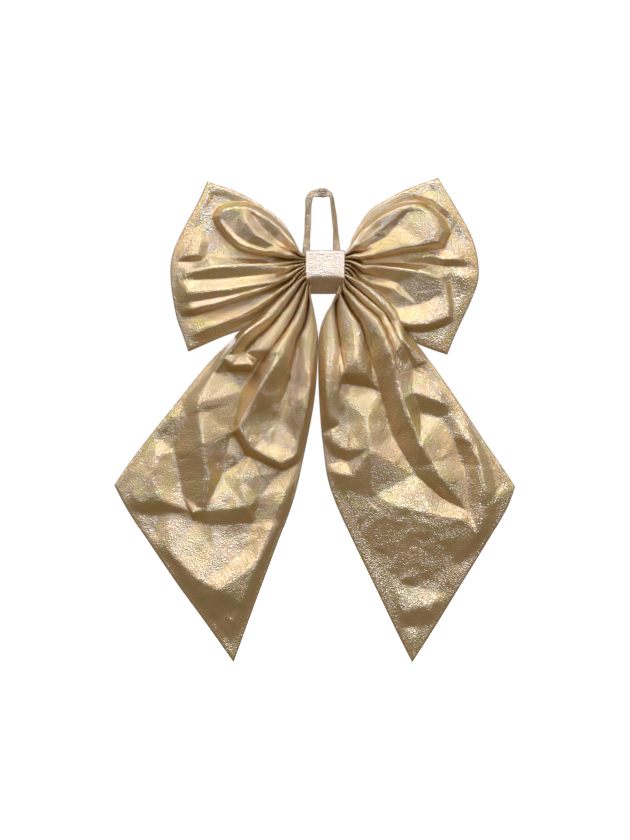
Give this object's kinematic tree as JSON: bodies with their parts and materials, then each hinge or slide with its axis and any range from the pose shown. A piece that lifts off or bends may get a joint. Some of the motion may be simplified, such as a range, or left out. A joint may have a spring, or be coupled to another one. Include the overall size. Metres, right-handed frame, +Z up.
{
  "type": "pre-made gift bow",
  "caption": "Ready-made gift bow of gold metallic cloth: pleated wings and long slant-cut tails gathered into a knot band, with a hanging loop behind the knot.",
  "frame": {"origin": "middle of the knot band's flat back face, which lies against the gift, door or wall", "axes": "+X across the bow to the right wing as seen from its face, +Y from the face to the back, +Z up towards the hanging loop"},
  "size_m": [0.3385, 0.03, 0.4092],
  "materials": {
    "knot_band": "metallic gold lame cloth with a fine crinkled grain",
    "band_closing_thread": "matte gold sewing thread",
    "wings_gather": "metallic gold lame cloth with a fine crinkled grain",
    "wings_gather_tie": "matte gold sewing thread",
    "tails_gather": "metallic gold lame cloth with a fine crinkled grain",
    "tails_gather_tie": "matte gold sewing thread",
    "left_loop_end": "metallic gold lame cloth with a fine crinkled grain",
    "right_loop_end": "metallic gold lame cloth with a fine crinkled grain",
    "left_loop_tack": "matte gold sewing thread",
    "right_loop_tack": "matte gold sewing thread",
    "left_wing_front_panel": "metallic gold lame cloth with a fine crinkled grain",
    "left_wing_back_panel": "metallic gold lame cloth with a fine crinkled grain",
    "left_wing_seam_thread": "matte gold sewing thread",
    "right_wing_front_panel": "metallic gold lame cloth with a fine crinkled grain",
    "right_wing_back_panel": "metallic gold lame cloth with a fine crinkled grain",
    "right_wing_seam_thread": "matte gold sewing thread",
    "left_tail_front_panel": "metallic gold lame cloth with a fine crinkled grain",
    "left_tail_back_panel": "metallic gold lame cloth with a fine crinkled grain",
    "left_tail_seam_thread": "matte gold sewing thread",
    "right_tail_front_panel": "metallic gold lame cloth with a fine crinkled grain",
    "right_tail_back_panel": "metallic gold lame cloth with a fine crinkled grain",
    "right_tail_seam_thread": "matte gold sewing thread",
    "hanging_loop_strip": "metallic gold lame cloth with a fine crinkled grain"
  },
  "bodies": {
    "knot": {"knot_band": "knot_band", "band_closing_thread": "band_closing_thread", "wings_gather": "wings_gather", "wings_gather_tie": "wings_gather_tie", "tails_gather": "tails_gather", "tails_gather_tie": "tails_gather_tie", "left_loop_end": "left_loop_end", "right_loop_end": "right_loop_end", "left_loop_tack": "left_loop_tack", "right_loop_tack": "right_loop_tack"},
    "left_wing": {"left_wing_front_panel": "left_wing_front_panel", "left_wing_back_panel": "left_wing_back_panel", "left_wing_seam_thread": "left_wing_seam_thread"},
    "right_wing": {"right_wing_front_panel": "right_wing_front_panel", "right_wing_back_panel": "right_wing_back_panel", "right_wing_seam_thread": "right_wing_seam_thread"},
    "left_tail": {"left_tail_front_panel": "left_tail_front_panel", "left_tail_back_panel": "left_tail_back_panel", "left_tail_seam_thread": "left_tail_seam_thread"},
    "right_tail": {"right_tail_front_panel": "right_tail_front_panel", "right_tail_back_panel": "right_tail_back_panel", "right_tail_seam_thread": "right_tail_seam_thread"},
    "hanging_loop": {"hanging_loop_strip": "hanging_loop_strip"}
  },
  "joints": [
    {"name": "left_wing_fold", "type": "hinge", "parent": "knot", "child": "left_wing", "pos_m": [-0.0178, -0.003, 0], "axis": [0, 0, -1], "range_deg": [0, 60]},
    {"name": "right_wing_fold", "type": "hinge", "parent": "knot", "child": "right_wing", "pos_m": [0.0178, -0.003, 0], "axis": [0, 0, 1], "range_deg": [0, 60]},
    {"name": "left_tail_lift", "type": "hinge", "parent": "knot", "child": "left_tail", "pos_m": [0, -0.0206, -0.0224], "axis": [-1, 0, 0], "range_deg": [0, 75]},
    {"name": "right_tail_lift", "type": "hinge", "parent": "knot", "child": "right_tail", "pos_m": [0, -0.0206, -0.0224], "axis": [-1, 0, 0], "range_deg": [0, 75]},
    {"name": "hanging_loop_fold", "type": "hinge", "parent": "knot", "child": "hanging_loop", "pos_m": [0, -0.0026, 0.0164], "axis": [1, 0, 0], "range_deg": [-80, 80]}
  ]
}
